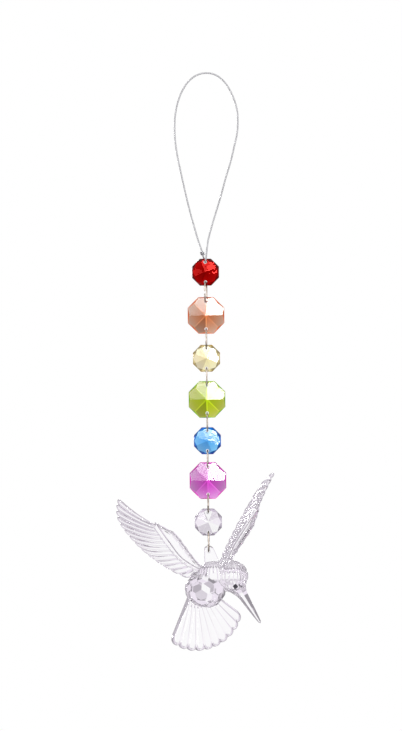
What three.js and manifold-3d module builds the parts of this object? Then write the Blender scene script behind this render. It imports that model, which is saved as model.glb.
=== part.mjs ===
// A hanging ornament: a loop of cord, seven octagonal beads joined by wire rings, and a clear cast
// hummingbird. Millimetres, +Z up, the faces of the beads towards -Y. The origin is the inside of the
// loop's top, where a hook carries the whole.
import * as THREE from 'three';
import { ConvexGeometry } from 'three/addons/geometries/ConvexGeometry.js';
import { mergeVertices } from 'three/addons/utils/BufferGeometryUtils.js';
import Module from 'manifold-3d';

const wasm = await Module();
wasm.setup();

// Cord and wire
const cordDiameter = 0.9;
const knotWidth = 2.4;
const wireDiameter = 0.8;
const holeClearance = 0.4;
const touchGap = 0.3;

// The chain hangs straight down, a little to the left of the loop's top, from the red bead's upper hole
const chainAside = -1.7;
const loopDrop = 98.0;

// Small and large beads: width across flats, full thickness in the middle and at the rim,
// how far a hole lies inside the edge, and the narrow bevel round the rim. The small ones have a star of
// facets: how far its notches lie out towards the corners, and how far each corner drops below the rim.
const smallBead = { width: 14, middle: 6.4, rim: 3.6, holeInset: 1.85, bevel: 0.3, star: 0.79 };
const largeBead = { width: 19, middle: 7.2, rim: 2.6, holeInset: 2.4, bevel: 0.5 };
const cornerDrop = 1.3;
const sides = 8;

// Rings: clear space between the wire and the bead's rim, how square the oval is, and the cut in the wire
const ringRoom = 1.9;
const ringSquareness = 2.8;
const wireCut = 0.3;
const wireSeat = 0.1;

// The beads from the top down, the gap below each as it hangs, and how far each has turned about the chain.
// A ring hangs midway between its two beads' turns, but the first is turned further.
const firstRingTurn = -8;
const beads = [
  { name: 'red', size: smallBead, gapBelow: 6.0, turn: -4, color: 0xd8180c },
  { name: 'orange', size: largeBead, gapBelow: 5.8, turn: -1, color: 0xf0a878 },
  { name: 'yellow', size: smallBead, gapBelow: 4.9, turn: -2, color: 0xf0e4b0 },
  { name: 'green', size: largeBead, gapBelow: 5.0, turn: 2, color: 0xb4d43c },
  { name: 'blue', size: smallBead, gapBelow: 4.2, turn: -3, color: 0x2c8ce8 },
  { name: 'pink', size: largeBead, gapBelow: 5.1, turn: 1, color: 0xec7cdc },
  { name: 'clear', size: smallBead, gapBelow: 5.3, turn: -3, color: 0xf0eef4 },
];

// The bird's body from the top of its shoulders to its belly. Its places and radii are in shares of this
// height, from the tab's hole.
const bodyHeight = 25;

// The bird's hanging tab, with its hole at the bird's own zero point
const tabThickness = 2.6;
const tabTopRadius = 2.9;
const tabLeft = -2.3;
const tabFoot = -9.0;
const tabRightFoot = 7.0;
const eyeTurn = 10;

// The bird's wings: plan points in wing lengths along and across, thicknesses in millimetres
const wingLength = 58.2;
const wingFeathers = 14;
const featherHalf = 0.7;
const featherEdgeHalf = 0.45;
const featherRib = 0.5;
const featherScallop = 0.05;
const featherColumns = 3;
const featherSweep = 0.09;
const wingArch = 1.0;
const armRidgeRadius = 1.25;
const armPadHalf = 0.75;
const armRimHalf = 1.15;
const armRimTeeth = 7;

// The bird's tail fan, about the point where its feathers meet
const tailFeathers = 10;
const tailLeftLength = 33.5;
const tailRightLength = 30.8;
const tailBulge = 3.6;
const tailStart = 7;
const tailFrom = -25.5;
const tailTo = 57;
const tailHalf = 1.8;
const tailRootHalf = 2.4;
const tailRib = 0.6;
const tailRound = 1.5;

const v3 = (x, y, z) => new THREE.Vector3(x, y, z);
const radians = THREE.MathUtils.degToRad;

// A closed mesh as a solid that can be joined and cut
function solid(geometry) {
  const bare = geometry.clone();
  bare.deleteAttribute('normal');
  bare.deleteAttribute('uv');
  const merged = mergeVertices(bare, 1e-4);
  return new wasm.Manifold(new wasm.Mesh({
    numProp: 3,
    vertProperties: new Float32Array(merged.attributes.position.array),
    triVerts: new Uint32Array(merged.index.array),
  }));
}

function geometryOf(body) {
  const mesh = body.getMesh();
  const geometry = new THREE.BufferGeometry();
  geometry.setAttribute('position', new THREE.BufferAttribute(new Float32Array(mesh.vertProperties), 3));
  geometry.setIndex(new THREE.BufferAttribute(new Uint32Array(mesh.triVerts), 1));
  return geometry;
}

function named(name, geometry, color, roughness, metalness) {
  const mesh = new THREE.Mesh(geometry, new THREE.MeshStandardMaterial({ color, roughness, metalness }));
  mesh.name = name;
  return mesh;
}

// A round bar along a curve, as a closed solid with flat ends
function bar(curve, radius, steps, around) {
  const corners = Array.from({ length: around }, (_, i) => {
    const angle = 2 * Math.PI * i / around;
    return new THREE.Vector2(radius * Math.cos(angle), radius * Math.sin(angle));
  });
  return new THREE.ExtrudeGeometry(
    new THREE.Shape(corners), { steps, extrudePath: curve, bevelEnabled: false });
}

// BEADS

// One face of a bead: its middle point, the facet corners and the rim, at their heights from the middle
function beadFace(size, side) {
  const half = size.width / 2;
  const corner = half / Math.cos(Math.PI / sides);
  const slope = (size.middle - size.rim) / 2;
  const points = [v3(0, side * size.middle / 2, 0)];
  for (let i = 0; i < sides; i++) {
    const flat = 2 * Math.PI * i / sides;
    const point = flat + Math.PI / sides;
    const put = (angle, radius, height) =>
      points.push(v3(radius * Math.sin(angle), side * height, radius * Math.cos(angle)));
    const edge = size.rim / 2;
    const drop = size.star ? cornerDrop : slope / Math.cos(Math.PI / sides) ** 2 - slope;
    if (size.star) {
      put(point, size.star * corner, size.middle / 2 - slope * size.star * half / (half - size.bevel));
    }
    put(flat, half - size.bevel, edge);
    put(point, corner - size.bevel, edge - drop);
    put(flat, half, edge - size.bevel);
    put(point, corner, edge - drop - size.bevel);
  }
  return points;
}

function hole(depth, z) {
  const diameter = Math.max(wireDiameter, cordDiameter) + 2 * holeClearance;
  const cylinder = new THREE.CylinderGeometry(diameter / 2, diameter / 2, depth, 8);
  return solid(cylinder.translate(0, 0, z));
}

function beadGeometry(size) {
  const body = solid(new ConvexGeometry([...beadFace(size, 1), ...beadFace(size, -1)]));
  const reach = size.width / 2 - size.holeInset;
  return geometryOf(body.subtract(hole(2 * size.middle, reach)).subtract(hole(2 * size.middle, -reach)));
}

// RINGS

// One oval wire ring in the YZ plane about its centre, cut at the front where its two ends meet
class OvalWire extends THREE.Curve {
  constructor(length, width) {
    super();
    Object.assign(this, { length, width });
  }

  getPoint(t, target = v3(0, 0, 0)) {
    const cut = wireCut / this.width;
    const angle = cut + t * (2 * Math.PI - 2 * cut);
    const bent = (value) => Math.sign(value) * Math.abs(value) ** (2 / ringSquareness);
    return target.set(
      0, -this.width / 2 * bent(Math.cos(angle)), this.length / 2 * bent(Math.sin(angle)));
  }
}

function ringGeometry(length) {
  const width = largeBead.rim + 2 * ringRoom + wireDiameter;
  return bar(new OvalWire(length, width), wireDiameter / 2, 17, 6);
}

// CORD

// The cord's route as it hangs: up from the knot through the red bead's hole, round the loop and back to
// the knot. The points were chosen by hand.
const cordRoute = [
  [-2.8, 1.6, -94.9], [-2.4, 2.8, -96.0], [-1.8, 3.1, -97.2], [-1.6, 2.3, -97.9], [-1.7, 0.9, -98.0],
  [-1.7, -0.9, -98.0], [-1.8, -2.4, -97.9], [-1.6, -3.3, -97.0], [-1.3, -2.9, -95.4], [-1.0, -2.0, -92.6],
  [-0.2, -1.2, -87.0], [1.9, -0.6, -79.1], [4.4, 0, -71.1], [6.9, 0, -63.1], [9.3, 0, -54.5],
  [12.0, 0, -45.9], [14.0, 0, -37.9], [15.5, 0, -31.3], [16.0, 0, -24.6], [15.6, 0, -18.6],
  [13.9, 0, -12.7], [11.6, 0, -7.7], [8.3, 0, -3.2], [4.3, 0, -0.4], [0, 0, 0.45],
  [-4.4, 0, -0.3], [-8.5, 0, -2.9], [-11.9, 0, -7.2], [-14.6, 0, -13.1], [-16.4, 0, -20.6],
  [-16.9, 0, -27.3], [-16.6, 0, -35.3], [-15.5, 0, -43.2], [-13.9, 0, -51.2], [-12.1, 0, -59.8],
  [-10.0, 0, -69.1], [-7.8, 0, -77.8], [-5.2, 0.2, -87.0], [-3.6, 0.7, -91.8],
];

function hangingCord() {
  const curve = new THREE.CatmullRomCurve3(cordRoute.map((point) => v3(...point)), false, 'centripetal');
  return bar(curve, cordDiameter / 2, 76, 8);
}

// The knot: a small turned lump with a waist where the two ends of the cord go in
function cordKnot() {
  const from = v3(...cordRoute[0]);
  const to = v3(...cordRoute[cordRoute.length - 1]);
  const length = from.distanceTo(to) - 2 * touchGap;
  const profile = [[0, -0.5], [0.5, -0.5], [1, -0.2], [0.8, 0], [1, 0.2], [0.5, 0.5], [0, 0.5]];
  const lump = new THREE.LatheGeometry(
    profile.map(([out, up]) => new THREE.Vector2(out * knotWidth / 2, up * length)), 10);
  const way = to.clone().sub(from).normalize();
  lump.applyQuaternion(new THREE.Quaternion().setFromUnitVectors(v3(0, 1, 0), way));
  const middle = from.clone().lerp(to, 0.5);
  return lump.translate(middle.x, middle.y, middle.z);
}

// HUMMINGBIRD

const inBody = (x, y, z) => v3(x, y, z).multiplyScalar(bodyHeight);

// A ball cut all over with flat facets, one facet on each corner of an icosphere
function cutBall(detail, centre, radii) {
  const ball = new THREE.IcosahedronGeometry(1, detail).attributes.position;
  const corners = [];
  for (let i = 0; i < ball.count; i += 3) {
    const [a, b, c] = [0, 1, 2].map((k) => new THREE.Vector3().fromBufferAttribute(ball, i + k));
    const meet = a.clone().cross(b).add(b.clone().cross(c)).add(c.clone().cross(a));
    const volume = a.dot(b.clone().cross(c));
    corners.push(meet.divideScalar(volume).multiply(inBody(...radii)).add(inBody(...centre)));
  }
  return solid(new ConvexGeometry(corners));
}

// A many-sided spindle from one point to another, its radii given at distances along it
function spindle(from, to, around, profile, flatness) {
  const axis = inBody(...to).sub(inBody(...from));
  const outline = profile.map(([out, up]) => new THREE.Vector2(out * bodyHeight, up * bodyHeight));
  const geometry = new THREE.LatheGeometry(outline, around);
  geometry.scale(1, 1, flatness);
  geometry.applyQuaternion(new THREE.Quaternion().setFromUnitVectors(v3(0, 1, 0), axis.normalize()));
  return solid(geometry.translate(...inBody(...from).toArray()));
}

// A plate with relief on both faces: place(a, b) is the middle surface, half(a, b) half its thickness
function plate(columns, rows, normal, place, half) {
  const across = columns + 1;
  const layer = across * (rows + 1);
  const positions = [];
  for (const face of [1, -1]) {
    for (let row = 0; row <= rows; row++) {
      for (let column = 0; column <= columns; column++) {
        const [a, b] = [column / columns, row / rows];
        positions.push(...place(a, b).addScaledVector(normal, face * half(a, b)).toArray());
      }
    }
  }
  const index = [];
  const quad = (a, b, c, d) => index.push(a, b, c, a, c, d);
  for (let row = 0; row < rows; row++) {
    for (let column = 0; column < columns; column++) {
      const at = row * across + column;
      quad(at, at + 1, at + 1 + across, at + across);
      quad(layer + at, layer + at + across, layer + at + 1 + across, layer + at + 1);
    }
  }
  const wall = (a, b) => quad(a, layer + a, layer + b, b);
  for (let column = 0; column < columns; column++) {
    wall(column, column + 1);
    wall(rows * across + column + 1, rows * across + column);
  }
  for (let row = 0; row < rows; row++) {
    wall((row + 1) * across, row * across);
    wall(row * across + columns, (row + 1) * across + columns);
  }
  const geometry = new THREE.BufferGeometry();
  geometry.setAttribute('position', new THREE.Float32BufferAttribute(positions, 3));
  geometry.setIndex(index);
  const body = solid(geometry);
  return body.volume() > 0 ? body : solid(turnedOut(geometry));
}

function turnedOut(geometry) {
  const index = geometry.index.array;
  const flipped = [];
  for (let i = 0; i < index.length; i += 3) {
    flipped.push(index[i], index[i + 2], index[i + 1]);
  }
  return geometry.clone().setIndex(flipped);
}

// How high a rounded feather stands at a share of its width, and how far its round end reaches
const roundness = (share) => Math.sqrt(Math.max(0, 1 - (2 * share - 1) ** 2));

// The wing's plan, in shares of its length: along the span from the root, and across to the trailing edge
const planCurve = (points) => new THREE.SplineCurve(points.map(([along, across]) =>
  new THREE.Vector2(along * wingLength, across * wingLength)));
const armRidge = planCurve([[0.59, -0.055], [0.4, -0.012], [0.2, 0.018], [0.01, -0.025]]);
const leadingEdge = planCurve([
  [0.61, -0.065], [0.49, -0.1], [0.4, -0.118], [0.26, -0.094], [0.13, -0.07], [-0.03, -0.055],
]);
const featherEnds = planCurve([
  [1, -0.005], [0.96, 0.065], [0.85, 0.17], [0.66, 0.225], [0.44, 0.235], [0.2, 0.19], [0.03, 0.12],
]);

function wing(root, span, chord) {
  const along = v3(...span).normalize();
  const across = v3(...chord).addScaledVector(along, -v3(...chord).dot(along)).normalize();
  const normal = along.clone().cross(across);
  const place = (plan) => {
    const arch = wingArch * (1 - ((plan.y / wingLength - 0.08) / 0.17) ** 2);
    return inBody(...root).addScaledVector(along, plan.x).addScaledVector(across, plan.y)
      .addScaledVector(normal, arch);
  };

  const feather = (share, out) => {
    const start = armRidge.getPointAt(share ** 1.3);
    const end = featherEnds.getPointAt(share ** 1.15);
    const run = end.clone().sub(start);
    const bend = start.clone().lerp(end, 0.5).addScaledVector(new THREE.Vector2(-run.y, run.x), featherSweep);
    const within = (share * wingFeathers) % 1;
    const reach = out * (1 - featherScallop * (1 - roundness(within)));
    return place(new THREE.QuadraticBezierCurve(start, bend, end).getPoint(reach));
  };
  const featherThick = (share, out) => {
    const rib = featherRib * roundness((share * wingFeathers) % 1);
    return THREE.MathUtils.lerp(featherHalf, featherEdgeHalf, out) + rib * (1 - 0.35 * out);
  };
  const fan = plate(wingFeathers * featherColumns, 3, normal, feather, featherThick);

  const pad = (share, out) => place(leadingEdge.getPointAt(share).lerp(armRidge.getPointAt(share), out));
  const padThick = (share, out) => {
    const tooth = 0.3 * Math.abs(Math.sin(Math.PI * armRimTeeth * share));
    return out < 0.3 ? armRimHalf - tooth : armPadHalf;
  };
  const arm = plate(armRimTeeth * 2, 3, normal, pad, padThick);

  const ridgeLine = new THREE.CatmullRomCurve3(
    armRidge.getPoints(8).map((point) => place(point)));
  return fan.add(arm).add(solid(bar(ridgeLine, armRidgeRadius, 8, 6)));
}

// The tail fan, spread from the point inside the body where its feathers meet
function tailFan(root, down, sideways) {
  const axis = v3(...down).normalize();
  const aside = v3(...sideways).addScaledVector(axis, -v3(...sideways).dot(axis)).normalize();
  const normal = aside.clone().cross(axis);
  const place = (share, out) => {
    const angle = radians(THREE.MathUtils.lerp(tailFrom, tailTo, share));
    const length = THREE.MathUtils.lerp(tailLeftLength, tailRightLength, share);
    const reach = length + tailBulge * roundness(share)
      - tailRound * (1 - roundness((share * tailFeathers) % 1));
    const radius = THREE.MathUtils.lerp(tailStart, reach, out);
    return inBody(...root).addScaledVector(axis, radius * Math.cos(angle))
      .addScaledVector(aside, radius * Math.sin(angle));
  };
  const thick = (share, out) => THREE.MathUtils.lerp(tailRootHalf, tailHalf, out)
    - tailRib * out * (1 - roundness((share * tailFeathers) % 1));
  return plate(tailFeathers * featherColumns, 2, normal, place, thick);
}

// The tab under the last ring: upright on the left, slanting on the right, rounded over its hole
function hangingTab() {
  const outline = new THREE.Shape();
  outline.moveTo(tabLeft, tabFoot);
  outline.lineTo(tabRightFoot, tabFoot);
  outline.lineTo(tabTopRadius * Math.cos(radians(25)), tabTopRadius * Math.sin(radians(25)));
  outline.absarc(0, 0, tabTopRadius, radians(25), Math.PI - Math.acos(-tabLeft / tabTopRadius), false);
  outline.closePath();
  const sheet = new THREE.ExtrudeGeometry(
    outline, { depth: tabThickness, bevelEnabled: false, curveSegments: 8 });
  sheet.translate(0, 0, -tabThickness / 2).rotateX(Math.PI / 2);
  return solid(sheet);
}

// The eye: a low four-sided stud on each cheek
function eye(centre) {
  const stud = new THREE.OctahedronGeometry(bodyHeight, 0).scale(0.062, 0.044, 0.058);
  return solid(stud.rotateY(radians(eyeTurn)).translate(...inBody(...centre).toArray()));
}

// The bird looks to the right, its beak down, the tail towards the front
function hummingbirdGeometry() {
  const headCentre = [0.46, -0.02, -0.52];
  const beakRoot = [0.476, -0.02, -0.56];
  const beakTip = [1.064, -0.14, -1.504];
  const shoulders = spindle([0.088, 0.04, -0.86], [0.088, 0.04, -0.168], 14,
    [[0, 0], [0.216, 0.064], [0.344, 0.248], [0.36, 0.4], [0.264, 0.584], [0, 0.68]], 0.82);
  const torso = cutBall(1, [-0.08, 0, -0.792], [0.408, 0.328, 0.372]);
  const head = cutBall(2, headCentre, [0.36, 0.27, 0.335]);
  const beak = spindle(beakRoot, beakTip, 6, [
    [0, 0], [0.264, 0.02], [0.224, 0.2], [0.136, 0.36], [0.112, 0.44],
    [0.094, 0.592], [0.056, 0.92], [0.032, 1.072], [0, 1.112],
  ], 0.8);
  const leftWing = wing([-0.208, 0.048, -0.436], [-0.7075, -0.175, 0.6847], [-0.666, 0.49, -0.563]);
  const rightWing = wing([0.336, 0.136, -0.332], [0.475, 0.3175, 0.821], [-0.37, 0.915, -0.16]);
  const tail = tailFan([-0.28, 0, -0.624], [0, -0.13, -0.99], [0.88, 0.46, 0.05]);
  const eyes = [-0.256, 0.216].map((cheek) => eye([0.544, cheek, -0.716]));
  const cast = [torso, head, beak, leftWing, rightWing, tail, hangingTab(), ...eyes]
    .reduce((whole, piece) => whole.add(piece), shoulders);
  return geometryOf(cast.subtract(hole(4 * tabThickness, 0)));
}

// THE WHOLE

const ornament = new THREE.Group();
ornament.name = 'beaded_ornament';
ornament.add(named('hanging_cord', hangingCord(), 0xc8c8cc, 0.45, 0.3));
ornament.add(named('cord_knot', cordKnot(), 0xc8c8cc, 0.45, 0.3));

const chain = new THREE.Group();
chain.position.set(chainAside, 0, -loopDrop);
ornament.add(chain);

// Each bead hangs below the last ring, and each ring joins two holes
let level = smallBead.holeInset;
beads.forEach((bead, i) => {
  const mesh = named(`bead_${bead.name}`, beadGeometry(bead.size), bead.color, 0.08, 0);
  mesh.position.z = level - bead.size.width / 2;
  mesh.rotation.z = radians(bead.turn);
  chain.add(mesh);

  const below = beads[i + 1];
  const insetBelow = below ? below.size.holeInset : tabTopRadius;
  const turnBelow = below ? below.turn : 0;
  const length = bead.size.holeInset + bead.gapBelow + insetBelow;
  const bottom = level - bead.size.width;
  const ring = named(`ring_${bead.name}_${below ? below.name : 'bird'}`,
    ringGeometry(length + 2 * wireSeat), 0xc0bcb8, 0.25, 1);
  ring.position.z = bottom + bead.size.holeInset - length / 2;
  ring.rotation.z = radians(i ? (bead.turn + turnBelow) / 2 : firstRingTurn);
  chain.add(ring);
  level = bottom - bead.gapBelow;
});

const bird = named('hummingbird', hummingbirdGeometry(), 0xeceaf0, 0.06, 0);
bird.position.z = level - tabTopRadius;
chain.add(bird);

export default ornament;
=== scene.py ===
# A hanging ornament: a loop of cord, seven octagonal acrylic beads joined by wire rings, and a clear cast
# hummingbird at the bottom. Metres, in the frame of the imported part: the beads face -Y, +Z is up.
import math

import bpy
from mathutils import Matrix, Vector


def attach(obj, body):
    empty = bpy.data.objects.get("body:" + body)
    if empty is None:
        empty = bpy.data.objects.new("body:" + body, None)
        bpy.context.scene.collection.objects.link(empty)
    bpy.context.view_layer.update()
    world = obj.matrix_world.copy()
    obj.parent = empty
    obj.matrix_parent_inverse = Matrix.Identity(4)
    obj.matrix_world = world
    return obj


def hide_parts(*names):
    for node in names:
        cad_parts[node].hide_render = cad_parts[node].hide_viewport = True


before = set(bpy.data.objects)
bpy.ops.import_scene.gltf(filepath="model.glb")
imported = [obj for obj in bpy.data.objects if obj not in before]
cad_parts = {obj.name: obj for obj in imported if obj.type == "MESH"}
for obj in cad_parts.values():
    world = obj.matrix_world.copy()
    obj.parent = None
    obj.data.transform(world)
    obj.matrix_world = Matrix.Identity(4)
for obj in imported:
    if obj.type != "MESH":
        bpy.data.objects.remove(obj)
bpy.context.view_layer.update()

MM = 0.001


# CAMERA
# The photograph is taken level and straight from the front, with the frame turned by less than a degree. The
# camera stands far enough away for the ornament to show hardly any perspective.
frame_height = 380.4 * MM
frame_middle = (-4.61 * MM, -151.67 * MM)
frame_turn = 0.0115
camera_distance = 1.2
camera_data = bpy.data.cameras.new("front_camera")
camera_data.lens = camera_data.sensor_width * camera_distance / frame_height
camera_data.clip_end = 50
camera = bpy.data.objects.new("front_camera", camera_data)
camera.location = (frame_middle[0], -camera_distance, frame_middle[1])
camera.rotation_euler = (math.radians(90), frame_turn, 0)
bpy.context.scene.collection.objects.link(camera)
bpy.context.scene.camera = camera


# CORD
# One limp silver-grey cord, twisted from three plies of nylon and metal thread. It runs through the upper hole
# of the red bead, up and round in a long loop, and both its ends go into the knot. Its route is in millimetres.
cord_diameter = 0.9 * MM
cord_plies = 3
cord_lay = 3.4 * MM
cord_steps = 14
# the plies are drawn a hundredth inside the cord's full width
section_width = 0.99 * cord_diameter
section_points = 18
section_groove = 0.12
chain_aside = -1.7
top_hole_level = -98.0
cord_route = [
    (-2.8, 1.6, -94.9), (-2.4, 2.8, -96.0), (-1.8, 3.1, -97.2), (-1.6, 2.3, -97.9), (-1.7, 0.9, -98.0),
    (-1.7, -0.9, -98.0), (-1.8, -2.4, -97.9), (-1.6, -3.3, -97.0), (-1.3, -2.9, -95.4), (-1.0, -2.0, -92.6),
    (-0.2, -1.2, -87.0), (1.9, -0.6, -79.1), (4.4, 0, -71.1), (6.9, 0, -63.1), (9.3, 0, -54.5),
    (12.0, 0, -45.9), (14.0, 0, -37.9), (15.5, 0, -31.3), (16.0, 0, -24.6), (15.6, 0, -18.6),
    (13.9, 0, -12.7), (11.6, 0, -7.7), (8.3, 0, -3.2), (4.3, 0, -0.4), (0, 0, 0.45), (-4.4, 0, -0.3),
    (-8.5, 0, -2.9), (-11.9, 0, -7.2), (-14.6, 0, -13.1), (-16.4, 0, -20.6), (-16.9, 0, -27.3),
    (-16.6, 0, -35.3), (-15.5, 0, -43.2), (-13.9, 0, -51.2), (-12.1, 0, -59.8), (-10.0, 0, -69.1),
    (-7.8, 0, -77.8), (-5.2, 0.2, -87.0), (-3.6, 0.7, -91.8),
]


def deselect():
    """Nothing stays selected or open from the step before"""
    if bpy.context.object and bpy.context.object.mode != "OBJECT":
        bpy.ops.object.mode_set(mode="OBJECT")
    bpy.ops.object.select_all(action="DESELECT")


def only(obj):
    """The one piece that the next operators work on"""
    deselect()
    obj.select_set(True)
    bpy.context.view_layer.objects.active = obj
    return obj


def cord_section(name, radius, points, plies, depth):
    """The outline of the twisted cord, cut square across: a circle with one soft lobe for each ply"""
    deselect()
    bpy.ops.mesh.primitive_circle_add(vertices=points, radius=radius)
    ring = bpy.context.object
    ring.name = name
    for vertex in ring.data.vertices:
        angle = math.atan2(vertex.co.y, vertex.co.x)
        vertex.co *= 1 - depth * (0.5 - 0.5 * math.cos(plies * angle))
    bpy.ops.object.convert(target="CURVE")
    return bpy.context.object


def twisted(name, route, section, lay, steps):
    """A cord along a route: the section swept along one open spline, turning once for each length of lay"""
    curve = bpy.data.curves.new(name, "CURVE")
    curve.dimensions = "3D"
    curve.resolution_u = steps
    curve.bevel_mode = "OBJECT"
    curve.bevel_object = section
    curve.use_fill_caps = True
    spline = curve.splines.new("BEZIER")
    spline.bezier_points.add(len(route) - 1)
    run = 0.0
    for i, (point, place) in enumerate(zip(spline.bezier_points, route)):
        point.co = Vector(place) * MM
        point.handle_left_type = point.handle_right_type = "AUTO"
        run += (Vector(place) - Vector(route[max(i - 1, 0)])).length * MM
        point.tilt = 2 * math.pi * run / lay
    obj = bpy.data.objects.new(name, curve)
    bpy.context.scene.collection.objects.link(obj)
    only(obj)
    return obj


def centre_line(obj):
    """The points down the middle of a cord, close together"""
    plain = obj.data.copy()
    plain.bevel_object = None
    plain.bevel_mode = "ROUND"
    plain.bevel_depth = 0
    helper = bpy.data.objects.new("line", plain)
    bpy.context.scene.collection.objects.link(helper)
    bpy.context.view_layer.update()
    mesh = helper.to_mesh()
    points = [tuple(vertex.co) for vertex in mesh.vertices]
    helper.to_mesh_clear()
    bpy.data.objects.remove(helper)
    return points


def mottled(name, scale, detail, low, high):
    """A new finish whose colour drifts between two tones: each is given with the height of the grain that it
    starts from. Gives the material and its nodes, links and shader"""
    material = bpy.data.materials.new(name)
    material.use_nodes = True
    nodes, links = material.node_tree.nodes, material.node_tree.links
    shader = nodes["Principled BSDF"]
    place = nodes.new("ShaderNodeTexCoord")
    place.name = "place"
    grain = nodes.new("ShaderNodeTexNoise")
    grain.name = "grain"
    grain.inputs["Scale"].default_value = scale
    grain.inputs["Detail"].default_value = detail
    tone = nodes.new("ShaderNodeValToRGB")
    tone.name = "tone"
    for element, (height, colour) in zip(tone.color_ramp.elements, (low, high)):
        element.position = height
        element.color = (*colour, 1)
    links.new(place.outputs["Object"], grain.inputs["Vector"])
    links.new(grain.outputs["Fac"], tone.inputs["Fac"])
    links.new(tone.outputs["Color"], shader.inputs["Base Color"])
    return material, nodes, links, shader


def uneven(nodes, links, shader, depth, strength):
    """The same grain as slight hollows in the surface"""
    bump = nodes.new("ShaderNodeBump")
    bump.inputs["Distance"].default_value = depth
    bump.inputs["Strength"].default_value = strength
    links.new(nodes["grain"].outputs["Fac"], bump.inputs["Height"])
    links.new(bump.outputs["Normal"], shader.inputs["Normal"])


def cord_thread():
    """Silver-grey nylon with metal thread: a soft sheen, and a fine grain of fibres"""
    material, nodes, links, shader = mottled(
        "silver_cord", 1800, 3, (0.3, (0.30, 0.305, 0.31)), (0.7, (0.50, 0.505, 0.51)))
    uneven(nodes, links, shader, 0.03 * MM, 0.5)
    shader.inputs["Metallic"].default_value = 0.2
    shader.inputs["Roughness"].default_value = 0.5
    return material


def coat(obj, material):
    """The piece takes its finish, in place of any that it came with"""
    obj.data.materials.clear()
    obj.data.materials.append(material)


def faces_out(obj):
    """Doubles merged and every face turned outwards"""
    only(obj)
    bpy.ops.object.mode_set(mode="EDIT")
    bpy.ops.mesh.select_all(action="SELECT")
    bpy.ops.mesh.remove_doubles(threshold=1e-7)
    bpy.ops.mesh.normals_make_consistent(inside=False)
    bpy.ops.object.mode_set(mode="OBJECT")


silver_cord = cord_thread()
ply_section = cord_section("ply_section", section_width / 2, section_points, cord_plies, section_groove)
cord = twisted("cord", cord_route, ply_section, cord_lay, cord_steps)
cord_path = centre_line(cord)
bpy.ops.object.convert(target="MESH")
faces_out(cord)
bpy.ops.object.shade_smooth()
coat(cord, silver_cord)


# KNOT
# The two ends of the cord are tied together in one small tight knot, just above the red bead. It is the same
# twisted cord, wound closely round itself.
knot_wraps = 2.5
knot_radius = 0.72
knot_pitch = 0.88
knot_sway = 0.25
knot_growth = 6
knot_start = 0.15
knot_steps = 8
knot_centre = Vector((-3.2, 1.15, -93.35))
knot_axis = (Vector(cord_route[-1]) - Vector(cord_route[0])).normalized()
knot_aside = knot_axis.cross(Vector((0, 1, 0))).normalized()
knot_ahead = knot_axis.cross(knot_aside)
knot_route = []
knot_points = 16
for i in range(knot_points + 1):
    share = i / knot_points
    angle = 2 * math.pi * knot_wraps * share
    # the first and the last wrap grow out of the middle
    to_end = min(share, 1 - share)
    radius = knot_radius * min(1, knot_growth * to_end + knot_start)
    knot_route.append(tuple(
        knot_centre + knot_axis * (knot_pitch * knot_wraps * (share - 0.5) + knot_sway * math.sin(angle))
        + knot_aside * (radius * math.cos(angle)) + knot_ahead * (radius * math.sin(angle))))
knot = twisted("knot", knot_route, ply_section, cord_lay, knot_steps)
bpy.ops.object.convert(target="MESH")
faces_out(knot)
bpy.ops.object.shade_smooth()
coat(knot, silver_cord)
bpy.data.objects.remove(ply_section)
for piece, node in ((cord, "hanging_cord"), (knot, "cord_knot")):
    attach(piece, "root")
    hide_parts(node)


# BEADS
# Seven octagonal beads of coloured acrylic, moulded and polished with flat facets on both faces, and drilled
# near the upper and the lower edge. Two sizes: 14 mm with a star of facets, 19 mm with eight kites.

# sizes in millimetres. The star is how far out its points reach, as a share of the way to the bead's corners,
# and the wave is how uneven the polish is
small_bead = {"width": 14, "middle": 6.4, "rim": 3.6, "inset": 1.85, "bevel": 0.3, "star": 0.79, "wave": 0.5}
large_bead = {"width": 19, "middle": 7.2, "rim": 2.75, "inset": 2.4, "bevel": 0.8, "star": 0, "wave": 0.005}
bead_sides = 8
hole_diameter = 1.7 * MM
edge_softness = 0.05 * MM
sharp_edge = 6
# faces steeper than this take the painted rim shade
painted_shade_slope = 0.8
acrylic_ior = 1.49
acrylic_gloss = 0.02
polish_depth = 0.1 * MM


def cut(point, normal):
    """One flat facet: everything beyond the plane is ground away and the cut is closed"""
    bpy.ops.mesh.select_all(action="SELECT")
    bpy.ops.mesh.bisect(plane_co=point, plane_no=normal, use_fill=True, clear_outer=True, threshold=1e-7)


def facet(side, way, out, height, tilt):
    """One facet on a face of a bead: it leans out by a tilt, and goes through a point some way out"""
    cut((out * math.sin(way), side * height, out * math.cos(way)),
        (math.sin(tilt) * math.sin(way), side * math.cos(tilt), math.sin(tilt) * math.cos(way)))


def combine(obj, tool, operation, solver):
    """A solid cut away from a piece or joined to it. The tool is used up"""
    only(obj)
    work = obj.modifiers.new("work", "BOOLEAN")
    work.operation = operation
    work.solver = solver
    work.object = tool
    bpy.ops.object.modifier_apply(modifier="work")
    bpy.data.objects.remove(tool)


def soften(obj, width, angle, segments=1):
    """The edges that turn by more than an angle, in degrees, are rounded off"""
    only(obj)
    soft = obj.modifiers.new("soft_edges", "BEVEL")
    soft.width = width
    soft.segments = segments
    soft.limit_method = "ANGLE"
    soft.angle_limit = math.radians(angle)
    bpy.ops.object.modifier_apply(modifier="soft_edges")


def drill(obj, depth, place, diameter, turn=(0, 0, 0)):
    """A round polished hole"""
    deselect()
    bpy.ops.mesh.primitive_cylinder_add(vertices=32, radius=diameter / 2, depth=depth, location=place,
                                        rotation=turn)
    combine(obj, bpy.context.object, "DIFFERENCE", "EXACT")


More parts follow.
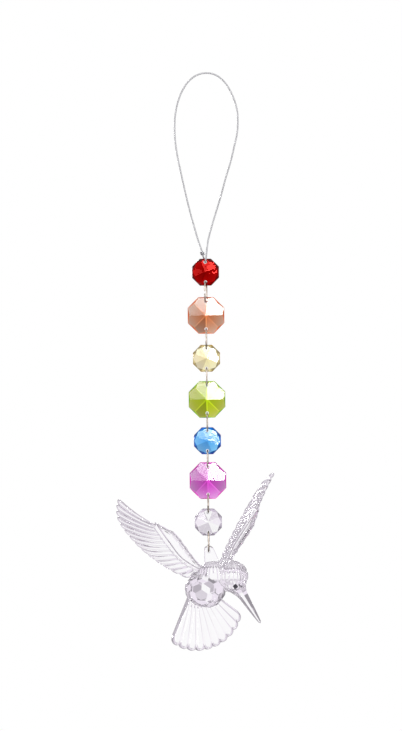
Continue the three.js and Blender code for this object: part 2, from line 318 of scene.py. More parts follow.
def bead_blank(name, size):
    """A bead about its own middle: an octagonal blank, ground facet by facet, then drilled"""
    half = size["width"] / 2 * MM
    corner = half / math.cos(math.pi / bead_sides)
    middle = size["middle"] / 2 * MM
    edge = size["rim"] / 2 * MM
    bevel = size["bevel"] * MM
    deselect()
    bpy.ops.mesh.primitive_cylinder_add(vertices=bead_sides, radius=corner, depth=2 * middle,
                                        rotation=(math.radians(90), math.pi / bead_sides, 0))
    bead = bpy.context.object
    bead.name = name
    bpy.ops.object.transform_apply(rotation=True)
    bpy.ops.object.mode_set(mode="EDIT")
    slope = (middle - edge) / (half - bevel)
    for side in (-1, 1):
        for k in range(bead_sides):
            flat = 2 * math.pi * k / bead_sides
            point = flat + math.pi / bead_sides
            if size["star"]:
                facet(side, flat, 0, middle, math.atan(slope))
                out = size["star"] * corner
                high = middle - slope * out * math.cos(math.pi / bead_sides)
                low = (half - bevel) * math.cos(math.pi / bead_sides)
                facet(side, point, out, high, math.atan((high - edge) / (low - out)))
            else:
                facet(side, point, 0, middle, math.atan(slope / math.cos(math.pi / bead_sides)))
            # the chamfer, at 45 degrees
            cut(((half - bevel) * math.sin(flat), side * edge, (half - bevel) * math.cos(flat)),
                (math.sin(flat), side, math.cos(flat)))
    bpy.ops.object.mode_set(mode="OBJECT")
    reach = half - size["inset"] * MM
    for up in (-1, 1):
        drill(bead, 4 * middle, (0, 0, up * reach), hole_diameter, (math.radians(90), 0, 0))
    soften(bead, edge_softness, sharp_edge)
    faces_out(bead)
    bpy.ops.object.shade_flat()
    # painted shade: the rim, the steep corner facets and the walls of the holes are marked to take a deeper,
    # darker colour, which stands in for the long way that light goes through them
    rim = bead.data.attributes.new("rim", "FLOAT", "FACE")
    for face in bead.data.polygons:
        rim.data[face.index].value = 1.0 if abs(face.normal.y) < painted_shade_slope else 0.0
    return bead


def bead_acrylic(name, tint, depth, edge, glint, wave):
    """Dyed acrylic: the colour deepens with the way that light goes through it. The rim and the holes carry a
    painted shade: a deeper, darker colour on their surface, which stands in for the long way that light goes
    through them"""
    material, nodes, links, shader = mottled(
        name, 450, 2, (0, [0.86 + 0.12 * x for x in tint]), (1, [0.94 + 0.05 * x for x in tint]))
    uneven(nodes, links, shader, polish_depth, wave)
    # painted shade: faces marked as rim take the deeper, darker colour given for the rim
    rim = nodes.new("ShaderNodeAttribute")
    rim.attribute_name = "rim"
    painted_rim_shade = nodes.new("ShaderNodeMix")
    painted_rim_shade.data_type = "RGBA"
    painted_rim_shade.inputs["B"].default_value = (*edge, 1)
    links.new(rim.outputs["Fac"], painted_rim_shade.inputs["Factor"])
    links.new(nodes["tone"].outputs["Color"], painted_rim_shade.inputs["A"])
    links.new(painted_rim_shade.outputs["Result"], shader.inputs["Base Color"])
    shader.inputs["Transmission Weight"].default_value = 1.0
    shader.inputs["IOR"].default_value = acrylic_ior
    shader.inputs["Roughness"].default_value = acrylic_gloss
    shader.inputs["Specular Tint"].default_value = (*glint, 1)
    dye = nodes.new("ShaderNodeVolumeAbsorption")
    dye.inputs["Color"].default_value = (*tint, 1)
    dye.inputs["Density"].default_value = depth
    links.new(dye.outputs["Volume"], nodes["Material Output"].inputs["Volume"])
    return material


# Each bead from the top down: its size, the gap below it, its turn about the chain in degrees, its dye, how
# deep that is, and the colour painted on its rim as shade. The red dye is so dense that it colours the glints
# on its surface too.
white_glint, red_glint = (1, 1, 1), (1.0, 0.06, 0.05)
beads = [
    ("red", small_bead, 6.0, -4, (0.87, 0.03, 0.02), 1600, (0.42, 0.01, 0.01), red_glint),
    ("orange", large_bead, 5.8, -1, (0.99, 0.50, 0.03), 330, (1.0, 0.14, 0.01), white_glint),
    ("yellow", small_bead, 4.9, -2, (0.94, 0.84, 0.20), 150, (0.99, 0.90, 0.42), white_glint),
    ("green", large_bead, 5.0, 2, (0.925, 0.99, 0.03), 767, (0.18, 0.52, 0.02), white_glint),
    ("blue", small_bead, 4.2, -3, (0.08, 0.68, 0.97), 400, (0.01, 0.22, 0.85), white_glint),
    ("pink", large_bead, 5.1, 1, (0.99, 0.02, 0.92), 330, (1.0, 0.03, 0.62), white_glint),
    ("clear", small_bead, 5.3, -3, (0.76, 0.70, 0.80), 8, (0.66, 0.61, 0.70), white_glint),
]
blanks = {id(size): bead_blank(f"bead_blank_{size['width']}", size) for size in (small_bead, large_bead)}
level = top_hole_level + small_bead["inset"]
joints = []
for colour, size, gap, turn, tint, depth, edge, glint in beads:
    centre = Vector((chain_aside * MM, 0, (level - size["width"] / 2) * MM))
    bead = blanks[id(size)].copy()
    bead.data = bead.data.copy()
    bead.name = bead.data.name = f"bead_{colour}_facets"
    bpy.context.scene.collection.objects.link(bead)
    bead.data.transform(Matrix.Translation(centre) @ Matrix.Rotation(math.radians(turn), 4, "Z"))
    bead.data.materials.append(bead_acrylic(f"{colour}_acrylic", tint, depth, edge, glint, size["wave"]))
    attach(bead, "root")
    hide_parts(f"bead_{colour}")
    bottom = level - size["width"]
    joints.append((colour, bottom, size, gap, turn))
    level = bottom - gap
for blank in blanks.values():
    bpy.data.objects.remove(blank)
tab_top = level


# RINGS
# Seven oval rings of thin silvered wire, bent from one piece each, its two cut ends meeting in a butt joint.
# Each ring goes through the lower hole of one bead and the upper hole of the next, and the last through the
# bird's tab.
wire_diameter = 0.8 * MM
ring_width = 7.2 * MM
ring_squareness = 2.8
ring_points = 72
ring_cut = 0.12 * MM
cut_turn = 4
ring_smoothing = 50
wire_seat = 0.1
tab_top_radius = 2.9
first_ring_turn = -8


def bent(value):
    """One coordinate of the squared oval"""
    return math.copysign(abs(value) ** (2 / ring_squareness), value)


def wire_ring(name, length):
    """A circle pressed to a squared oval in the YZ plane, cut through in front, and given its thickness"""
    deselect()
    bpy.ops.mesh.primitive_circle_add(vertices=ring_points, radius=1,
                                      rotation=(math.radians(90), 0, math.radians(90)))
    ring = bpy.context.object
    ring.name = name
    bpy.ops.object.transform_apply(rotation=True)
    half = ring_cut / ring_width
    for vertex in ring.data.vertices:
        angle = math.atan2(vertex.co.z, vertex.co.y)
        if abs(angle) < math.radians(cut_turn):
            angle = math.copysign(half, angle)
        vertex.co = (0, -ring_width / 2 * bent(math.cos(angle)), length / 2 * bent(math.sin(angle)))
    only(ring)
    bpy.ops.object.mode_set(mode="EDIT")
    bpy.ops.mesh.select_all(action="DESELECT")
    bpy.ops.object.mode_set(mode="OBJECT")
    for edge in ring.data.edges:
        a, b = (ring.data.vertices[v].co for v in edge.vertices)
        edge.select = a.y < 0 and b.y < 0 and a.z * b.z < 0
    bpy.ops.object.mode_set(mode="EDIT")
    bpy.ops.mesh.select_mode(type="EDGE")
    bpy.ops.mesh.delete(type="EDGE")
    bpy.ops.object.mode_set(mode="OBJECT")
    bpy.ops.object.convert(target="CURVE")
    ring = bpy.context.object
    ring.data.bevel_depth = wire_diameter / 2
    ring.data.bevel_resolution = 4
    ring.data.use_fill_caps = True
    bpy.ops.object.convert(target="MESH")
    faces_out(ring)
    bpy.ops.object.shade_smooth_by_angle(angle=math.radians(ring_smoothing))
    return ring


def silver_plate():
    """Plated steel wire, a little warm and dull, with fine drawing marks along it"""
    material, nodes, links, shader = mottled(
        "silver_wire", 1, 2, (0.35, (0.16, 0.135, 0.115)), (0.6, (0.46, 0.40, 0.35)))
    stretch = nodes.new("ShaderNodeMapping")
    stretch.inputs["Scale"].default_value = (3000, 3000, 300)
    links.new(nodes["place"].outputs["Object"], stretch.inputs["Vector"])
    links.new(stretch.outputs["Vector"], nodes["grain"].inputs["Vector"])
    shader.inputs["Metallic"].default_value = 1.0
    shader.inputs["Roughness"].default_value = 0.55
    return material


silver_wire = silver_plate()
for i, (colour, bottom, size, gap, turn) in enumerate(joints):
    last = i + 1 == len(joints)
    below = "bird" if last else joints[i + 1][0]
    inset_below = tab_top_radius if last else joints[i + 1][2]["inset"]
    turn_below = 0 if last else joints[i + 1][4]
    length = size["inset"] + gap + inset_below
    place = Vector((chain_aside * MM, 0, (bottom + size["inset"] - length / 2) * MM))
    ring = wire_ring(f"ring_{colour}_{below}_wire", (length + 2 * wire_seat) * MM)
    spin = Matrix.Rotation(math.radians((turn + turn_below) / 2 if i else first_ring_turn), 4, "Z")
    ring.data.transform(Matrix.Translation(place) @ spin)
    coat(ring, silver_wire)
    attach(ring, "root")
    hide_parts(f"ring_{colour}_{below}")


# HUMMINGBIRD
# One clear acrylic casting: a faceted body, a carved head, a long beak, two raised wings and a spread tail
# with carved feathers, and a flat tab with a hole at the top. The eyes are small dark studs.
bird_zero = Vector((chain_aside, 0, tab_top - tab_top_radius)) * MM
body_height = 25 * MM
facet_softness = 0.2 * MM
facet_angle = 30
carving_angle = 35
eye_size = (0.062, 0.044, 0.058)
eye_lean = 10
# the tab: its outline is in millimetres from the middle of its hole, and its angles are in degrees
tab_thickness = 2.6 * MM
tab_left, tab_right, tab_foot = -2.3, 7.0, -9.0
tab_slant_start = 25
tab_arc_steps = 24
tab_softness = 1.1 * MM
tab_sharp_edge = 50
mouth_depth, mouth_reach = 0.4 * hole_diameter, 0.8 * hole_diameter
# the wings: half thicknesses from root to tip and depths of carving are in millimetres, the rest in shares
wing_length = 58.2 * MM
wing_feathers = 14
wing_arch = 1.0 * MM
arch_middle, arch_reach = 0.08, 0.17
root_gathering, tip_gathering = 1.3, 1.15
feather_bend = 0.09
feather_scallop = 0.09
feather_fullness = 0.66
feather_body = (0.7, 0.45)
feather_rib = (0.28, 0.5)
barbed_rib = (0.28, 0.8)
barb_depth = 0.5
thinnest_feather = 0.12
feather_rounding = 0.92
arm_body = (1.15, 0.75)
arm_hollowing = 3.2
arm_teeth = 7
tooth_depth = 0.4
tooth_reach = 0.2
ridge_width = 3.0 * MM
ridge_taper = 0.45
ridge_peak = 0.4
ridge_foot, ridge_rise = 0.7, 0.7
rim_crowding = 1.8
# the tail: turns in degrees, lengths and half thicknesses in millimetres
tail_feathers = 10
tail_turns = (-25.5, 57)
tail_lengths = (33.5, 30.8)
tail_bow = 3.6
tail_scallop = 1.5
tail_start = 7
tail_body = (2.4, 1.8)
tail_groove = 0.25
thinnest_tail = 0.2
tail_rounding = 0.95


def in_body(x, y, z):
    """A place in shares of the body's height, from the tab's hole"""
    return bird_zero + Vector((x, y, z)) * body_height


def spindle(name, start, end, around, profile, flatness):
    """A many-sided spindle: a profile spun about the line from start to end"""
    deselect()
    axis = in_body(*end) - in_body(*start)
    mesh = bpy.data.meshes.new(name)
    mesh.from_pydata([(out * body_height, 0, up * body_height) for out, up in profile],
                     [(i, i + 1) for i in range(len(profile) - 1)], [])
    obj = bpy.data.objects.new(name, mesh)
    bpy.context.scene.collection.objects.link(obj)
    only(obj)
    bpy.ops.object.mode_set(mode="EDIT")
    bpy.ops.mesh.select_all(action="SELECT")
    bpy.ops.mesh.spin(steps=around, angle=2 * math.pi, center=(0, 0, 0), axis=(0, 0, 1))
    bpy.ops.mesh.select_all(action="SELECT")
    bpy.ops.mesh.remove_doubles(threshold=1e-6)
    bpy.ops.mesh.normals_make_consistent(inside=False)
    bpy.ops.object.mode_set(mode="OBJECT")
    # the sides sit as the source has them: the flat way lies across the bird
    ahead = axis.normalized().rotation_difference(Vector((0, 0, 1))).inverted()
    mesh.transform(Matrix.Translation(in_body(*start)) @ ahead.to_matrix().to_4x4()
                   @ Matrix.Diagonal((1, flatness, 1, 1)))
    return obj


def round_facets(cuts, turn):
    """Which way the facets of a ball face: one on each corner of an icosphere of that many cuts"""
    deselect()
    bpy.ops.mesh.primitive_ico_sphere_add(subdivisions=cuts, radius=1, rotation=turn)
    bpy.ops.object.transform_apply(rotation=True)
    guide = bpy.context.object
    ways = [vertex.co.copy() for vertex in guide.data.vertices]
    bpy.data.objects.remove(guide)
    return ways


def cut_ball(name, ways, centre, radii):
    """A ball with a flat facet ground on it for each of the ways"""
    deselect()
    bpy.ops.mesh.primitive_cube_add(size=3)
    ball = bpy.context.object
    ball.name = name
    bpy.ops.object.mode_set(mode="EDIT")
    for way in ways:
        cut(way, way)
    bpy.ops.object.mode_set(mode="OBJECT")
    ball.data.transform(Matrix.Translation(in_body(*centre))
                        @ Matrix.Diagonal((*(Vector(radii) * body_height), 1)))
    faces_out(ball)
    return ball


def feathered_ball(name, around, rows, groove, centre, radii):
    """A ball carved with rows of long rounded drops, each row set half a drop round from the next"""
    deselect()
    bpy.ops.mesh.primitive_uv_sphere_add(segments=around * 6, ring_count=rows * 6, radius=1)
    ball = bpy.context.object
    ball.name = name
    for vertex in ball.data.vertices:
        row = (math.asin(max(-1, min(1, vertex.co.z))) / math.pi + 0.5) * rows
        turn = math.atan2(vertex.co.y, vertex.co.x) / (2 * math.pi) * around + 0.5 * (int(row) % 2)
        vertex.co *= 1 - groove * (1 - roundness(turn % 1) * roundness(row % 1) ** 0.5)
    ball.data.transform(Matrix.Translation(in_body(*centre))
                        @ Matrix.Diagonal((*(Vector(radii) * body_height), 1)))
    faces_out(ball)
    return ball


def carved_plate(name, columns, rows, normal, place, half, crowding=1):
    """A plate with relief on both faces: a grid is extruded, then its two faces are laid either side of the
    middle surface. Its rows may crowd together towards the rim"""
    deselect()
    bpy.ops.mesh.primitive_grid_add(x_subdivisions=columns, y_subdivisions=rows, size=2)
    obj = bpy.context.object
    obj.name = name
    bpy.ops.object.mode_set(mode="EDIT")
    bpy.ops.mesh.extrude_region_move(TRANSFORM_OT_translate={"value": (0, 0, 1)})
    bpy.ops.object.mode_set(mode="OBJECT")
    for vertex in obj.data.vertices:
        share, out = (vertex.co.x + 1) / 2, (vertex.co.y + 1) / 2
        if crowding != 1:
            out = 1 - (1 - out) ** crowding
        side = 1 if vertex.co.z > 0.5 else -1
        vertex.co = place(share, out) + normal * (side * half(share, out))
    faces_out(obj)
    return obj


def roundness(share):
    """How high a rounded feather stands at a share of its width"""
    return math.sqrt(max(0.0, 1 - (2 * share - 1) ** 2))


def lerp(a, b, share):
    """A value between two others"""
    return a + (b - a) * share


def along_points(points):
    """A smooth line through points of the plan, which gives the place at any share of its length"""
    pts = [Vector((x, y)) for x, y in points]
    padded = [pts[0]] + pts + [pts[-1]]
    fine_points = 400
    steps = fine_points // (len(pts) - 1)
    fine = []
    for a, b, c, d in zip(padded, padded[1:], padded[2:], padded[3:]):
        leaving, arriving = (c - a) * 0.5, (d - b) * 0.5
        for i in range(steps):
            t = i / steps
            fine.append((2 * b - 2 * c + leaving + arriving) * t ** 3
                        + (-3 * b + 3 * c - 2 * leaving - arriving) * t * t + leaving * t + b)
    fine.append(pts[-1])
    runs = [0.0]
    for a, b in zip(fine, fine[1:]):
        runs.append(runs[-1] + (b - a).length)

    def at(share):
        goal = min(max(share, 0), 1) * runs[-1]
        low, high = 0, len(runs) - 1
        while high - low > 1:
            mid = (low + high) // 2
            low, high = (mid, high) if runs[mid] <= goal else (low, mid)
        step = runs[high] - runs[low]
        return fine[low].lerp(fine[high], (goal - runs[low]) / step if step else 0)

    return at


# the wing's plan, in shares of its length: the ridge of the arm, the edge that leads, and the feathers' ends
arm_ridge = along_points([(0.59, -0.055), (0.4, -0.012), (0.2, 0.018), (0.01, -0.025)])
leading_edge = along_points([(0.61, -0.065), (0.49, -0.1), (0.4, -0.118), (0.26, -0.094), (0.13, -0.07),
                             (-0.03, -0.055)])
feather_ends = along_points([(1, -0.005), (0.96, 0.065), (0.85, 0.17), (0.66, 0.225), (0.44, 0.235),
                             (0.2, 0.19), (0.03, 0.12)])


def feather_height(share):
    """The height across one feather: a broad rounded back, then a soft drop to the next"""
    rise = min(share / feather_fullness, (1 - share) / (1 - feather_fullness))
    return math.sin(math.pi / 2 * max(0.0, min(1.0, rise)))


def round_rim(out, start):
    """How the thickness falls off to a rounded rim, past a share of the way out"""
    return math.sqrt(1 - (max(0.0, out - start) / (1 - start)) ** 2)


def wing(name, root, span, chord, barbs):
    """A wing: a fan of long feathers with a number of notches along each, the smooth pad of the arm with its
    notched edge, and the ridge between"""
    along = Vector(span).normalized()
    across = (Vector(chord) - along * Vector(chord).dot(along)).normalized()
    normal = along.cross(across)

    def place(plan):
        arch = wing_arch * (1 - ((plan.y - arch_middle) / arch_reach) ** 2)
        flat_place = in_body(*root) + along * (plan.x * wing_length) + across * (plan.y * wing_length)
        return flat_place + normal * arch

    def feather(share, out):
        start, end = arm_ridge(share ** root_gathering), feather_ends(share ** tip_gathering)
        run = end - start
        bend = start.lerp(end, 0.5) + Vector((-run.y, run.x)) * feather_bend
        reach = out * (1 - feather_scallop * (1 - roundness((share * wing_feathers) % 1)))
        return place(start * (1 - reach) ** 2 + bend * (2 * reach * (1 - reach)) + end * reach ** 2)

    def feather_thick(share, out):
        ribs = barbed_rib if barbs else feather_rib
        rib = lerp(*ribs, out) * feather_height((share * wing_feathers) % 1)
        wave = math.sin(math.pi * (barbs * out + share * wing_feathers / 2))
        notch = barb_depth * abs(wave) if barbs else 0
        thick = (lerp(*feather_body, out) + rib - notch) * round_rim(out, feather_rounding)
        return max(thinnest_feather, thick) * MM

    fan = carved_plate(name + "_fan", wing_feathers * 10, 40 if barbs else 24, normal, feather, feather_thick,
                       rim_crowding)

    def pad(share, out):
        return place(leading_edge(share).lerp(arm_ridge(share), out))

    def pad_thick(share, out):
        tooth = tooth_depth * abs(math.sin(math.pi * arm_teeth * share)) ** 0.6
        hollow = lerp(*arm_body, min(1, arm_hollowing * math.sin(math.pi * out)))
        return (hollow - (tooth if out < tooth_reach else 0)) * MM

    arm = carved_plate(name + "_arm", 84, 20, normal, pad, pad_thick)

    def ridge_place(share, out):
        spot = arm_ridge(share)
        way = arm_ridge(share + 0.01) - arm_ridge(share - 0.01)
        way = Vector((-way.y, way.x)).normalized()
        width = ridge_width * (1 - ridge_taper + ridge_taper * (1 - share))
        return place(spot + way * (width * (out - 0.5) / wing_length))

    def ridge_thick(share, out):
        rise = out / ridge_peak if out < ridge_peak else (1 - out) / (1 - ridge_peak)
        return (ridge_foot + ridge_rise * rise) * MM

    ridge = carved_plate(name + "_ridge", 40, 11, normal, ridge_place, ridge_thick)
    return [fan, arm, ridge]


def tail_fan(name, root, down, sideways):
    """The spread tail: a fan of rounded feathers about the point inside the body where they meet"""
    axis = Vector(down).normalized()
    aside = (Vector(sideways) - axis * Vector(sideways).dot(axis)).normalized()
    normal = aside.cross(axis)

    def place(share, out):
        angle = math.radians(lerp(*tail_turns, share))
        length = lerp(*tail_lengths, share) + tail_bow * roundness(share)
        reach = length - tail_scallop * (1 - roundness((share * tail_feathers) % 1))
        radius = lerp(tail_start, reach, out) * MM
        return in_body(*root) + axis * (radius * math.cos(angle)) + aside * (radius * math.sin(angle))

    def thick(share, out):
        rib = 1 - roundness((share * tail_feathers) % 1)
        half = (lerp(*tail_body, out) - tail_groove * out ** 0.5 * rib) * round_rim(out, tail_rounding)
        return max(thinnest_tail, half) * MM

    return carved_plate(name, tail_feathers * 10, 20, normal, place, thick, rim_crowding)


def hanging_tab():
    """The tab: upright on the left, slanting on the right, rounded over its hole"""
    outline = [(tab_left, tab_foot), (tab_right, tab_foot)]
    first, last = math.radians(tab_slant_start), math.pi - math.acos(-tab_left / tab_top_radius)
    for i in range(tab_arc_steps + 1):
        angle = lerp(first, last, i / tab_arc_steps)
        outline.append((tab_top_radius * math.cos(angle), tab_top_radius * math.sin(angle)))
    mesh = bpy.data.meshes.new("tab")
    mesh.from_pydata([(x * MM, -tab_thickness / 2, z * MM) for x, z in outline], [],
                     [list(range(len(outline)))])
    tab = bpy.data.objects.new("tab", mesh)
    bpy.context.scene.collection.objects.link(tab)
    only(tab)
    bpy.ops.object.mode_set(mode="EDIT")
    bpy.ops.mesh.select_all(action="SELECT")
    bpy.ops.mesh.extrude_region_move(TRANSFORM_OT_translate={"value": (0, tab_thickness, 0)})
    bpy.ops.object.mode_set(mode="OBJECT")
    mesh.transform(Matrix.Translation(bird_zero))
    faces_out(tab)
    soften(tab, tab_softness, tab_sharp_edge, segments=2)
    return tab


def countersink(obj, place, side):
    """The rounded mouth of the tab's hole, on one face"""
    deselect()
    bpy.ops.mesh.primitive_cone_add(vertices=32, radius1=mouth_reach / 2, radius2=mouth_reach,
                                    depth=mouth_depth, location=place,
                                    rotation=(-side * math.radians(90), 0, 0))
    combine(obj, bpy.context.object, "DIFFERENCE", "MANIFOLD")


def eye_stud(name, place):
    """A low four-sided stud on the cheek"""
    deselect()
    bpy.ops.mesh.primitive_cone_add(vertices=4, radius1=1, radius2=0, depth=1, location=(0, 0, 0.5),
                                    end_fill_type="NOTHING")
    bpy.ops.object.transform_apply(location=True)
    stud = bpy.context.object
    stud.name = name
    bpy.ops.object.mode_set(mode="EDIT")
    bpy.ops.mesh.select_all(action="SELECT")
    bpy.ops.mesh.symmetrize(direction="POSITIVE_Z")
    bpy.ops.object.mode_set(mode="OBJECT")
    # a point at each end, at right angles to the cheek
    stud.data.transform(Matrix.Translation(in_body(*place)) @ Matrix.Rotation(math.radians(eye_lean), 4, "Y")
                        @ Matrix.Diagonal((*[share * body_height for share in eye_size], 1))
                        @ Matrix.Rotation(math.radians(90), 4, "X"))
    faces_out(stud)
    return stud


def clear_acrylic():
    """Water-clear cast acrylic, with the slight unevenness of a cast surface"""
    material, nodes, links, shader = mottled(
        "clear_cast_acrylic", 160, 2, (0, (0.95, 0.94, 0.96)), (1, (0.985, 0.98, 0.99)))
    uneven(nodes, links, shader, polish_depth, 0.25)
    shader.inputs["Transmission Weight"].default_value = 1.0
    shader.inputs["IOR"].default_value = acrylic_ior
    shader.inputs["Roughness"].default_value = acrylic_gloss
    shader.inputs["Specular Tint"].default_value = (0.25, 0.25, 0.25, 1)
    return material


def dark_stud():
    """A near-black, glossy colour on the eye studs"""
    material, nodes, links, shader = mottled(
        "dark_eye", 900, 2, (0, (0.03, 0.03, 0.04)), (1, (0.07, 0.065, 0.08)))
    shader.inputs["Roughness"].default_value = 0.25
    return material


def flat(obj):
    """Facets with hard edges"""
    only(obj)
    bpy.ops.object.shade_flat()
    return obj


def carved(obj):
    """Rounded carving, with hard edges only where it turns sharply"""
    only(obj)
    bpy.ops.object.shade_smooth_by_angle(angle=math.radians(carving_angle))
    return obj


# the forms of the casting, placed in shares of the body's height: the neck comes first, the rest joins it
bird = feathered_ball("bird", around=20, rows=1, groove=0.045, centre=(0.088, 0.04, -0.52),
                      radii=(0.36, 0.295, 0.33))
torso_facets = round_facets(2, (1.85, 0.35, -0.11))
torso = flat(cut_ball("torso", torso_facets, centre=(-0.08, 0, -0.792), radii=(0.408, 0.328, 0.372)))
soften(torso, facet_softness, facet_angle)
head = feathered_ball("head", around=22, rows=5, groove=0.055, centre=(0.46, -0.02, -0.52),
                      radii=(0.36, 0.27, 0.335))
shoulder_facets = round_facets(2, (0, 0, 0))
shoulder = flat(cut_ball("shoulder", shoulder_facets, centre=(-0.281, -0.04, -0.518), radii=(0.1, 0.12, 0.1)))
beak_root, beak_tip = (0.476, -0.02, -0.56), (1.064, -0.14, -1.504)
beak_profile = [(0, 0), (0.264, 0.02), (0.224, 0.2), (0.136, 0.36), (0.112, 0.44), (0.094, 0.592),
                (0.056, 0.92), (0.032, 1.072), (0, 1.112)]
beak = flat(spindle("beak", beak_root, beak_tip, around=6, profile=beak_profile, flatness=0.8))
left_wing = wing("left_wing", root=(-0.208, 0.048, -0.436), span=(-0.7075, -0.175, 0.6847),
                 chord=(-0.666, 0.49, -0.563), barbs=0)
right_wing = wing("right_wing", root=(0.336, 0.136, -0.332), span=(0.475, 0.3175, 0.821),
                  chord=(-0.37, 0.915, -0.16), barbs=6)
tail = tail_fan("tail", root=(-0.28, 0, -0.624), down=(0, -0.13, -0.99), sideways=(0.88, 0.46, 0.05))
eyes = [flat(eye_stud(f"eye_{i}", (0.544, cheek, -0.716))) for i, cheek in enumerate((-0.256, 0.216))]
clear_cast, dark_eye = clear_acrylic(), dark_stud()
carvings = [carved(part) for part in (head, *left_wing, *right_wing, tail)]
bird_parts = [torso, shoulder, beak, *carvings, flat(hanging_tab()), *eyes]
carved(bird)
for part in [bird, *bird_parts]:
    coat(part, clear_cast)
    part.data.materials.append(dark_eye)
for eye in eyes:
    for face in eye.data.polygons:
        face.material_index = 1
for part in bird_parts:
    combine(bird, part, "UNION", "MANIFOLD")
drill(bird, 8 * tab_thickness, bird_zero, hole_diameter, (math.radians(90), 0, 0))
for side in (-1, 1):
    countersink(bird, bird_zero + Vector((0, side * tab_thickness / 2, 0)), side)
bird.name = bird.data.name = "hummingbird_cast"
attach(bird, "root")
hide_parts("hummingbird")


# STUDIO
# A plain pale floor well below, a white room, and soft lights. The clear and coloured acrylic gets its lines
# from grey posts, bars and stripes in the room, which are seen only through the pieces or mirrored in them.
floor_level = -0.62
floor_radius = 0.45
deselect()
bpy.ops.mesh.primitive_circle_add(vertices=96, radius=floor_radius, fill_type="NGON",
                                  location=(0, 0, floor_level))
floor = bpy.context.object
floor.name = "floor"
floor_paint = bpy.data.materials.new("pale_floor")
floor_paint.use_nodes = True
floor_paint.node_tree.nodes["Principled BSDF"].inputs["Base Color"].default_value = (0.9, 0.9, 0.9, 1)
floor_paint.node_tree.nodes["Principled BSDF"].inputs["Roughness"].default_value = 0.8
floor.data.materials.append(floor_paint)

world = bpy.data.worlds.new("white_room")
bpy.context.scene.world = world
world.cycles.sampling_method = "NONE"
world.use_nodes = True
nodes, links = world.node_tree.nodes, world.node_tree.links
nodes.clear()


def number(operation, a, b=None):
    """One sum in the room's light"""
    node = nodes.new("ShaderNodeMath")
    node.operation = operation
    for slot, value in zip(node.inputs, (a, b)):
        if isinstance(value, bpy.types.NodeSocket):
            links.new(value, slot)
        elif value is not None:
            slot.default_value = value
    return node.outputs[0]


def ramp_of(value, stops, lilac=True):
    """A tone for each value, from stops of (value, tone): white, or a grey with a breath of lilac"""
    low, high = stops[0][0], stops[-1][0]
    node = nodes.new("ShaderNodeValToRGB")
    elements = node.color_ramp.elements
    while len(elements) < len(stops):
        elements.new(0.5)
    for element, (at, tone) in zip(elements, stops):
        element.position = (at - low) / (high - low)
        element.color = (tone, tone * 0.93, tone * 1.03, 1) if lilac and tone < 1 else (tone, tone, tone, 1)
    links.new(number("DIVIDE", number("SUBTRACT", value, low), high - low), node.inputs["Fac"])
    return node.outputs["Color"]


def blended(share, a, b, blend="MIX"):
    """Two tones mixed by a share"""
    node = nodes.new("ShaderNodeMix")
    node.data_type = "RGBA"
    node.blend_type = blend
    for slot, value in zip((node.inputs["Factor"], node.inputs["A"], node.inputs["B"]), (share, a, b)):
        if isinstance(value, bpy.types.NodeSocket):
            links.new(value, slot)
        else:
            slot.default_value = value
    return node.outputs["Result"]


direction = nodes.new("ShaderNodeTexCoord")
parts = nodes.new("ShaderNodeSeparateXYZ")
links.new(direction.outputs["Generated"], parts.inputs[0])
height = number("MULTIPLY", number("ARCSINE", parts.outputs["Z"]), 180 / math.pi)
azimuth = number("MULTIPLY", number("ARCTAN2", parts.outputs["X"], parts.outputs["Y"]), 180 / math.pi)
across = number("SUBTRACT", number("FLOORED_MODULO", number("ADD", azimuth, 90.0), 180.0), 90.0)

# what is seen straight through: a white window ahead and behind, narrow grey posts beside it and bars above
# and below it where the kites of the large beads look, and darker stripes far round. Angles are in degrees
to_one_side = [(10, 1), (12.6, 0.93), (28, 0.93), (31, 0.3), (34, 0.3), (37, 0.93), (42, 0.93), (49, 0.3),
               (57, 0.9), (66, 0.2), (76, 0.8), (84, 0.2), (90, 0.9)]
walls = ramp_of(across, [(-at, tone) for at, tone in reversed(to_one_side)] + to_one_side)
posts = ramp_of(across, [(-22.5, 1), (-17.3, 1), (-16.6, 0.55), (-13.4, 0.52), (-12.6, 1), (12.6, 1),
                         (13.4, 0.5), (16.6, 0.48), (17.3, 1), (22.5, 1)])


def above(low, high):
    """The tones from floor to ceiling, with the tones of the bars below and above the window"""
    return ramp_of(height, [
        (-90, 0.4), (-52, 0.88), (-45, 0.3), (-38, 0.88), (-36, 0.88), (-33, 0.3), (-31, 0.3), (-28, 0.88),
        (-19, 0.88), (-18.2, low), (-13, low), (-12.3, 0.92), (-10, 1), (9.5, 1), (11.3, 0.92), (12, high),
        (16.8, high), (17.5, 0.88), (28, 0.88), (31, 0.3), (33, 0.3), (36, 0.88), (39, 0.88), (46, 0.3),
        (56, 0.9), (90, 1)])


def within(value, low, high):
    """One between two values and nothing outside them, with a soft edge a degree wide"""
    edge = 1.0
    return ramp_of(value, [(low - 2 * edge, 0), (low - edge, 0), (low, 1), (high, 1), (high + edge, 0),
                           (high + 2 * edge, 0)])


# the bars are darker low behind the left of the window than behind its right, and break off in its middle
left_or_right = ramp_of(across, [(-22.5, 0), (-1.5, 0), (1.5, 1), (22.5, 1)])
barred = blended(left_or_right, above(0.6, 0.64), above(0.5, 0.36))
levels = blended(within(across, -11, 11), above(0.88, 0.88), barred)
levels = blended(within(across, -3.6, 3.6), levels, (1, 1, 1, 1))
ahead = blended(1.0, levels, walls, "DARKEN")
ahead = blended(within(height, -11, 11), ahead, blended(1.0, ahead, posts, "DARKEN"))
# a soft grey panel above the window's middle and right, for the lower left of the small beads
panel = number("MINIMUM", within(across, -3, 12), within(height, 4, 11))
ahead = blended(panel, ahead, (0.72, 0.68, 0.74, 1))

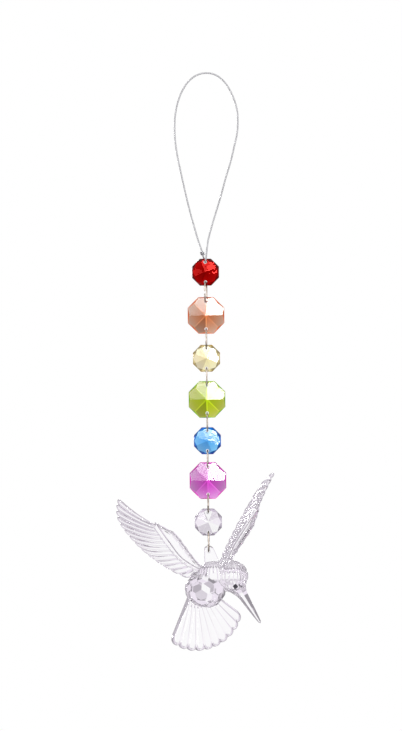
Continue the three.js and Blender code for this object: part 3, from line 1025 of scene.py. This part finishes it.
# what the outsides mirror, and what is seen by way of an inner face: darker, with the most contrast inside
mirrored = ramp_of(height, [(-90, 0.2), (-20, 0.3), (0, 0.5), (25, 0.5), (60, 0.6), (90, 0.8)], lilac=False)
inner = ramp_of(height, [(-90, 0.5), (-65, 0.1), (-45, 0.7), (-30, 0.15), (-16, 0.5), (-5, 0.75), (4, 0.75),
                         (12, 0.15), (24, 0.85), (36, 0.1), (50, 0.8), (64, 0.1), (75, 0.9), (90, 1)])
seen = nodes.new("ShaderNodeLightPath")
inside = number("MINIMUM", seen.outputs["Transmission Depth"], 1.0)
turned = number("MINIMUM", seen.outputs["Glossy Depth"], 1.0)
tones = blended(turned, ahead, blended(inside, mirrored, inner))
room = nodes.new("ShaderNodeBackground")
links.new(tones, room.inputs["Color"])
white = nodes.new("ShaderNodeBackground")
white.inputs["Color"].default_value = (1, 1, 1, 1)
either = nodes.new("ShaderNodeMixShader")
links.new(seen.outputs["Is Camera Ray"], either.inputs["Fac"])
links.new(room.outputs[0], either.inputs[1])
links.new(white.outputs[0], either.inputs[2])
output = nodes.new("ShaderNodeOutputWorld")
links.new(either.outputs[0], output.inputs["Surface"])


light_distance = 1.2
ornament_middle = Vector((chain_aside * MM, 0, -170 * MM))


def softbox(name, turn, rise, size, brightness, on_dull=False):
    """A soft light that looks at the middle of the ornament from a turn and a rise, with its size, all in
    degrees: a panel that the polished facets mirror, or one that only lights the dull surfaces"""
    turn, rise = math.radians(turn), math.radians(rise)
    way = Vector((math.sin(turn) * math.cos(rise), -math.cos(turn) * math.cos(rise), math.sin(rise)))
    light = bpy.data.lights.new(name, "AREA")
    light.shape = "RECTANGLE"
    light.size, light.size_y = [2 * light_distance * math.tan(math.radians(side / 2)) for side in size]
    light.energy = brightness * math.pi * light.size * light.size_y
    lamp = bpy.data.objects.new(name, light)
    lamp.location = ornament_middle + way * light_distance
    lamp.rotation_euler = (-way).to_track_quat("-Z", "Y").to_euler()
    lamp.visible_camera = False
    lamp.visible_diffuse = on_dull
    lamp.visible_glossy = not on_dull
    lamp.visible_transmission = False
    bpy.context.scene.collection.objects.link(lamp)


# each has its turn, rise, width and height, and brightness
for where, start in (("front", 0), ("back", 180)):
    softbox(f"key_high_{where}", start + 14, 25, (16, 22), 25)
    softbox(f"key_low_{where}", start + 27.3, 6.8, (21.5, 19.5), 25)
    softbox(f"fill_high_{where}", start - 10, 28, (17, 17), 10)
    softbox(f"fill_low_{where}", start - 27, 11, (14, 16), 4)
softbox("overhead", 10, 65, (55, 55), 1.5, on_dull=True)
bpy.context.scene.view_settings.view_transform = "Standard"
# light turns many times inside the clear casting before it comes out
deepest_path = 24
bpy.context.scene.cycles.max_bounces = deepest_path
bpy.context.scene.cycles.transmission_bounces = deepest_path
bpy.context.scene.cycles.glossy_bounces = deepest_path
